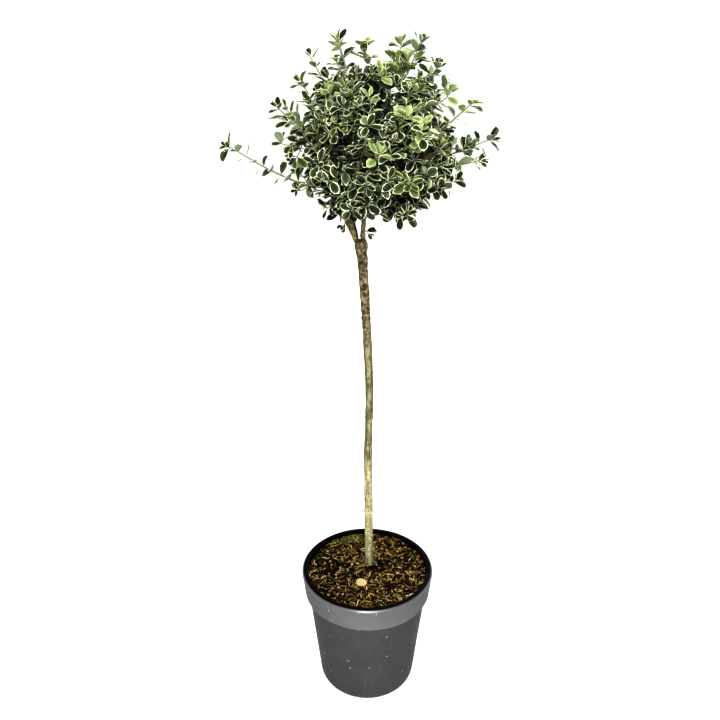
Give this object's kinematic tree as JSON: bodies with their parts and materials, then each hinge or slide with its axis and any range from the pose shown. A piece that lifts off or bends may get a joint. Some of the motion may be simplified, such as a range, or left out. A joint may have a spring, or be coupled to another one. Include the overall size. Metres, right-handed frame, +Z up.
{
  "type": "potted standard euonymus",
  "caption": "Young variegated euonymus grafted as a lollipop standard: bare trunk, short boughs and a loose round crown of small leaves, in a round plastic nursery pot.",
  "frame": {"origin": "centre of the pot's flat underside", "axes": "+Z up the plant, front of the plant towards -Y, +X to the right as seen from the front"},
  "size_m": [0.3227, 0.2245, 0.9263],
  "materials": {
    "pot_plastic": "satin dark grey moulded plastic",
    "compost": "rough, with tan fibres and bark chips",
    "trunk_bark": "matt olive and grey-tan bark",
    "bough_bark": "matt brown young bark",
    "foliage": "leathery dark green leaves with cream margins",
    "young_foliage": "lighter grey-green young leaves with pale yellow margins"
  },
  "bodies": {
    "root": {"bough_back_left": "bough_bark", "bough_back_right": "bough_bark", "bough_left": "bough_bark", "bough_left_outer": "bough_bark", "bough_right": "bough_bark", "mass_heart": "foliage", "mass_high_1": "foliage", "mass_high_2": "foliage", "mass_high_3": "foliage", "mass_high_4": "foliage", "mass_high_5": "foliage", "mass_low_1": "foliage", "mass_low_2": "foliage", "mass_low_3": "foliage", "mass_low_4": "foliage", "mass_low_5": "foliage", "mass_middle_1": "foliage", "mass_middle_2": "foliage", "mass_middle_3": "foliage", "mass_middle_4": "foliage", "mass_middle_5": "foliage", "mass_middle_6": "foliage", "mass_top": "foliage", "pot": "pot_plastic", "shoot_back": "young_foliage", "shoot_back_left": "young_foliage", "shoot_back_left_high": "young_foliage", "shoot_back_left_low": "young_foliage", "shoot_back_low": "young_foliage", "shoot_back_right": "young_foliage", "shoot_back_right_high": "young_foliage", "shoot_back_right_low": "young_foliage", "shoot_back_right_side": "young_foliage", "shoot_back_side": "young_foliage", "shoot_front_high": "young_foliage", "shoot_front_left": "young_foliage", "shoot_front_low_left": "young_foliage", "shoot_front_low_right": "young_foliage", "shoot_front_right": "young_foliage", "shoot_left": "young_foliage", "shoot_left_high": "young_foliage", "shoot_left_long": "young_foliage", "shoot_left_low": "young_foliage", "shoot_left_middle": "young_foliage", "shoot_right": "young_foliage", "shoot_right_high": "young_foliage", "shoot_right_low": "young_foliage", "shoot_right_lower": "young_foliage", "shoot_right_upper": "young_foliage", "shoot_top": "young_foliage", "shoot_top_arch": "young_foliage", "shoot_top_left": "young_foliage", "shoot_top_left_side": "young_foliage", "shoot_top_right": "young_foliage", "soil": "compost", "trunk": "trunk_bark"}
  },
  "joints": []
}
